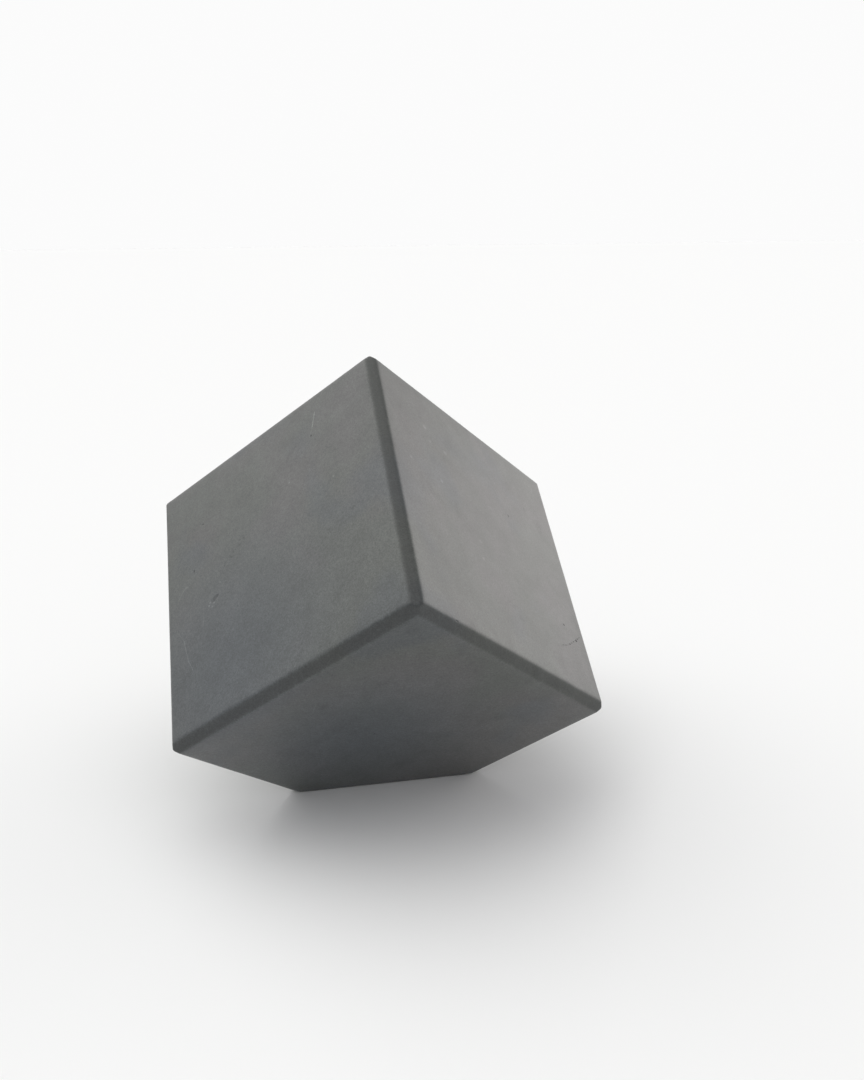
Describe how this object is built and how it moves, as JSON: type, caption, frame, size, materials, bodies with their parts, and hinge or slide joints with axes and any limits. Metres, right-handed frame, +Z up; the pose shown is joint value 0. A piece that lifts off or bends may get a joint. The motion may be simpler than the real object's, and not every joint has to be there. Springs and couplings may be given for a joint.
{
  "type": "charcoal block",
  "caption": "Solid charcoal-grey cube with bevelled edges, standing upright on one flat-cut corner, its body diagonal vertical.",
  "frame": {"origin": "centre of the standing facet, the flat cut across the bottom corner", "axes": "+Z up the cube's body diagonal to the top corner; the corner that faces the viewer points towards -Y, and +X is to the viewer's right"},
  "size_m": [0.055, 0.0636, 0.0574],
  "materials": {
    "carbon_block": "satin"
  },
  "bodies": {
    "root": {"cube_block": "carbon_block"}
  },
  "joints": []
}
